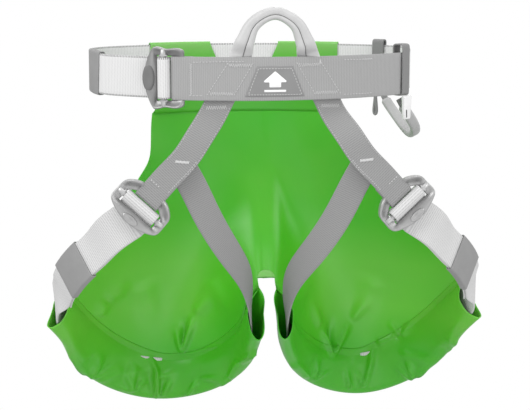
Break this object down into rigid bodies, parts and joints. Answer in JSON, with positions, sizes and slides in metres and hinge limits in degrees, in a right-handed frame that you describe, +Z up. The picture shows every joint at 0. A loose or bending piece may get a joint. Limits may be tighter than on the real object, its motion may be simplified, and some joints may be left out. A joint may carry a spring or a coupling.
{
  "type": "tree climbing saddle",
  "caption": "Sit harness: webbing waist belt with a stiff tie-in loop, buckled leg loops on risers, and a vinyl seat sheet whose hems hold the straps.",
  "frame": {"origin": "middle of the waist opening at the belt's mid height, on the plane halfway between the legs", "axes": "+Z up as worn, -Y to the wearer's front, +X to the viewer's right when looking at the front"},
  "size_m": [0.4696, 0.2218, 0.4644],
  "materials": {
    "grey_webbing": "ribbed woven polyester webbing",
    "light_webbing": "ribbed woven polyester webbing",
    "dark_webbing": "woven polyester tape",
    "patch_fabric": "coated fabric",
    "elastic": "covered elastic",
    "moulded_grey": "moulded",
    "moulded_white": "moulded",
    "loop_sheath": "soft moulded sheath",
    "waist_buckle_metal": "satin anodised",
    "leg_buckle_metal": "satin anodised",
    "bar_steel": "satin",
    "seat_vinyl": "coated vinyl sheet",
    "patch_vinyl": "coated vinyl sheet"
  },
  "bodies": {
    "harness": {"attachment_patch": "patch_fabric", "crotch_patch": "patch_vinyl", "front_belt": "grey_webbing", "front_belt_lining": "grey_webbing", "front_gear_hanger": "dark_webbing", "left_belt_tunnel": "seat_vinyl", "left_leg_buckle_frame": "leg_buckle_metal", "left_leg_strap": "light_webbing", "left_leg_tunnel": "seat_vinyl", "left_riser": "grey_webbing", "left_seat_leg_panel": "seat_vinyl", "left_thigh_strap": "grey_webbing", "rear_gear_hanger": "dark_webbing", "right_belt_tunnel": "seat_vinyl", "right_leg_buckle_frame": "leg_buckle_metal", "right_leg_strap": "light_webbing", "right_leg_tunnel": "seat_vinyl", "right_riser": "grey_webbing", "right_seat_leg_panel": "seat_vinyl", "right_thigh_strap": "grey_webbing", "seat_back_panel": "seat_vinyl", "tie_in_loop_tails": "grey_webbing", "waist_buckle_frame": "waist_buckle_metal", "waist_strap": "light_webbing"},
    "tie_in_loop": {"tie_in_loop_webbing": "light_webbing", "tie_in_loop_sheath": "loop_sheath"},
    "waist_keeper": {"waist_keeper": "elastic"},
    "waist_slider": {"waist_buckle_slider": "bar_steel"},
    "left_slider": {"left_leg_buckle_slider": "bar_steel"},
    "right_slider": {"right_leg_buckle_slider": "bar_steel"},
    "left_keeper": {"left_leg_keeper": "elastic"},
    "right_keeper": {"right_leg_keeper": "elastic"},
    "gear_loop": {"gear_loop_strap": "dark_webbing", "gear_loop_sleeve": "moulded_grey"},
    "tool_tag": {"tool_tag": "moulded_white"},
    "lanyard_loop": {"lanyard_loop": "dark_webbing"}
  },
  "joints": [
    {"name": "tie_in_loop_tilt", "type": "hinge", "parent": "harness", "child": "tie_in_loop", "pos_m": [0, -0.1018, 0.026], "axis": [1, 0, 0], "range_deg": [-25, 50], "stiffness_Nm_per_rad": 0.25},
    {"name": "waist_keeper_slide", "type": "hinge", "parent": "harness", "child": "waist_keeper", "pos_m": [-0.13, 0, 0], "axis": [0, 0, 1], "range_deg": [-5, 20]},
    {"name": "waist_slider_roll", "type": "hinge", "parent": "harness", "child": "waist_slider", "pos_m": [-0.11125, -0.08637, 0], "axis": [0, 0, 1], "range_deg": [-20, 20]},
    {"name": "left_slider_roll", "type": "hinge", "parent": "harness", "child": "left_slider", "pos_m": [-0.13638, -0.10567, -0.12866], "axis": [-0.7358, 0.1216, 0.6662], "range_deg": [-20, 20]},
    {"name": "right_slider_roll", "type": "hinge", "parent": "harness", "child": "right_slider", "pos_m": [0.13638, -0.10567, -0.12866], "axis": [-0.7358, -0.1216, -0.6662], "range_deg": [-20, 20]},
    {"name": "left_keeper_slide", "type": "hinge", "parent": "harness", "child": "left_keeper", "pos_m": [-0.13445, -0.00386, -0.20525], "axis": [-0.4336, 0.5354, 0.7248], "range_deg": [-8, 9]},
    {"name": "right_keeper_slide", "type": "hinge", "parent": "harness", "child": "right_keeper", "pos_m": [0.13445, -0.00386, -0.20525], "axis": [-0.4336, -0.5354, -0.7248], "range_deg": [-9, 8]},
    {"name": "gear_loop_swing", "type": "hinge", "parent": "harness", "child": "gear_loop", "pos_m": [0.13853, 0.0034, -0.0276], "axis": [0.0919, -0.9958, 0], "range_deg": [-30, 30], "stiffness_Nm_per_rad": 0.2},
    {"name": "tool_tag_swing", "type": "hinge", "parent": "harness", "child": "tool_tag", "pos_m": [0.14858, -0.04634, -0.0276], "axis": [-0.6756, -0.7373, 0], "range_deg": [-10, 70]},
    {"name": "lanyard_loop_swing", "type": "hinge", "parent": "harness", "child": "lanyard_loop", "pos_m": [0.12858, 0.0491, -0.0276], "axis": [0.788, -0.6157, 0], "range_deg": [-40, 40]}
  ]
}
